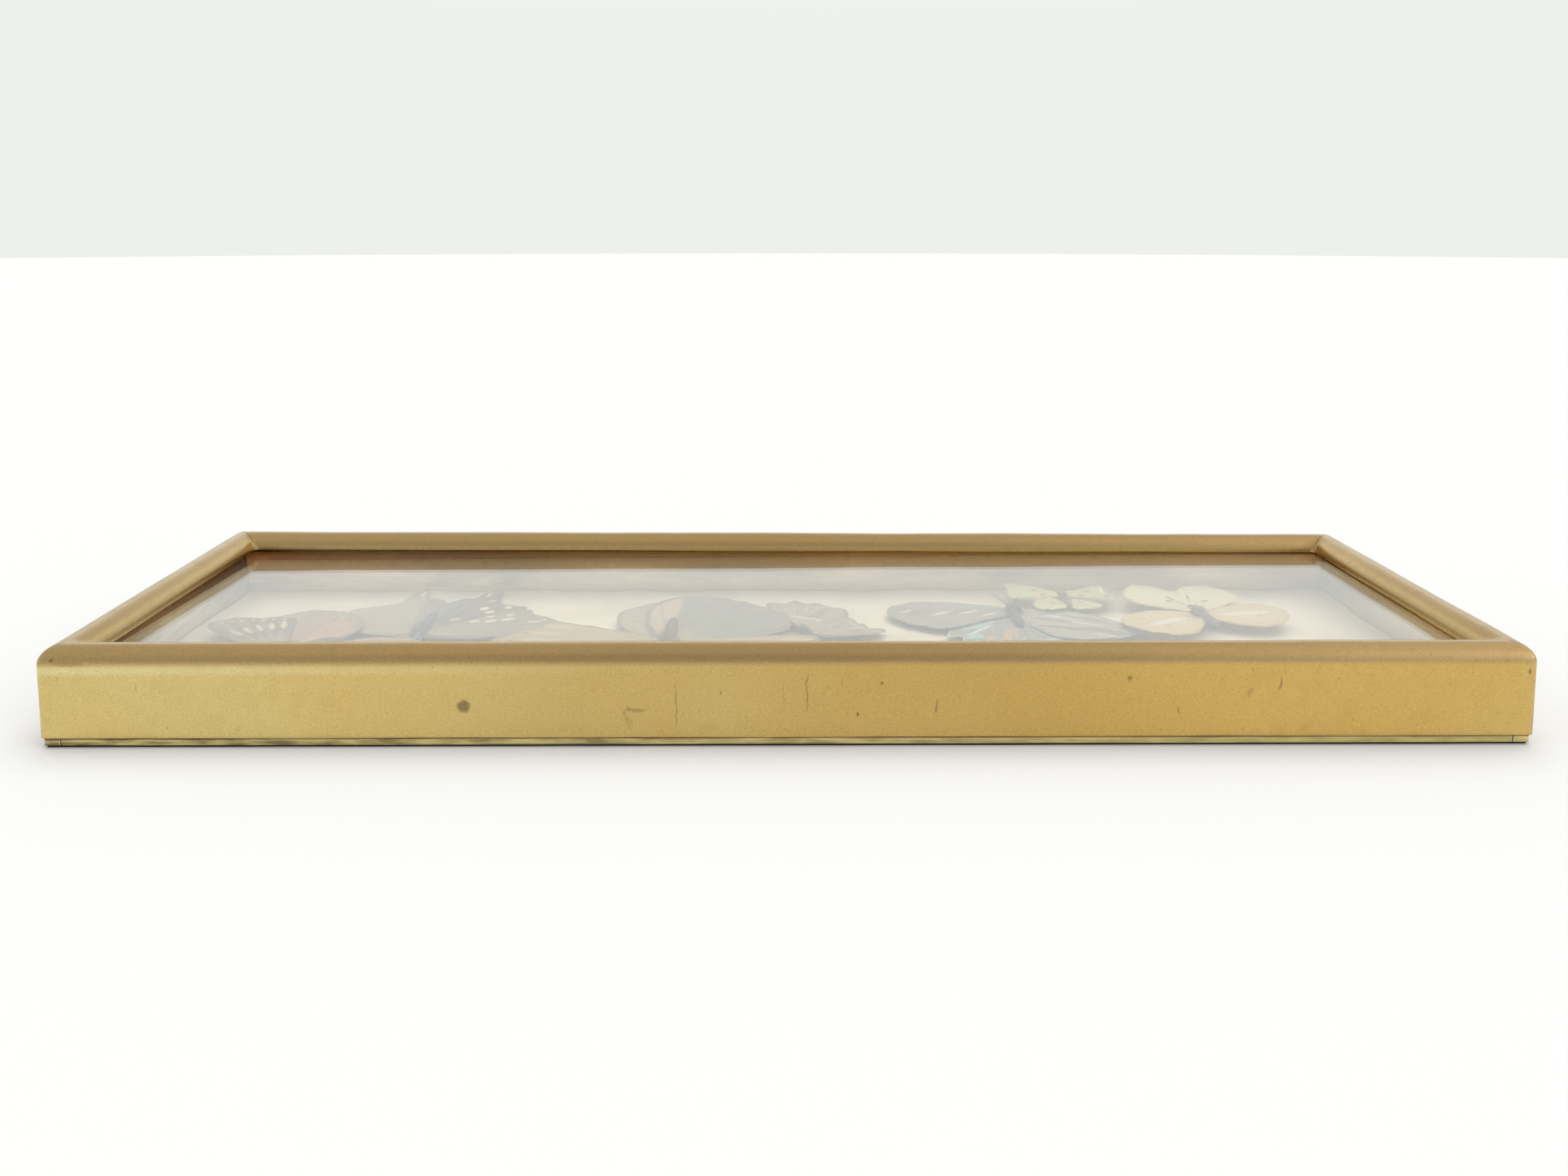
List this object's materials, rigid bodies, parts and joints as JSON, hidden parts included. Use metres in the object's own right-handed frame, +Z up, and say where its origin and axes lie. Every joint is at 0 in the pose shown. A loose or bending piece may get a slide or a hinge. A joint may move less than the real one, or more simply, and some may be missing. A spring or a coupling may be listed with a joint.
{
  "type": "framed butterfly specimens",
  "caption": "Shallow oblong brass case with a flat glass top, rounded mitred rails and dried butterflies and a moth fixed on a pale board inside, for display.",
  "frame": {"origin": "middle of the underside", "axes": "+X along the long side, to the right as seen from the front; +Y towards the back; +Z up, out of the glass"},
  "size_m": [0.3816, 0.1244, 0.0279],
  "materials": {
    "gilt_brass": "satin lacquered, lightly tarnished",
    "tray_brass": "satin drawn strip",
    "clear_glass": "plain sheet glass, a little dusty",
    "ivory_card": "matt ivory card",
    "dark_card": "matt dark backing paper",
    "tiger_wing": "dry wing scales, rust and dark brown",
    "olive_wing": "dry wing scales, olive with cream spots",
    "owl_wing": "dry wing scales, mustard and dark teal",
    "brown_wing": "dry wing scales, purple brown",
    "sunset_wing": "dry wing scales, dark with turquoise bands",
    "green_wing": "dry wing scales, pale yellow green",
    "yellow_wing": "dry wing scales, straw yellow"
  },
  "bodies": {
    "root": {"rail_front": "gilt_brass", "rail_right": "gilt_brass", "rail_back": "gilt_brass", "rail_left": "gilt_brass", "tray_wall_front": "tray_brass", "tray_wall_right": "tray_brass", "tray_wall_back": "tray_brass", "tray_wall_left": "tray_brass", "glass_pane": "clear_glass", "specimen_board": "ivory_card", "backing_sheet": "dark_card", "tiger_butterfly": "tiger_wing", "spotted_swallowtail": "olive_wing", "owl_butterfly": "owl_wing", "scalloped_butterfly": "brown_wing", "sunset_moth": "sunset_wing", "green_butterfly": "green_wing", "yellow_butterfly": "yellow_wing"}
  },
  "joints": []
}
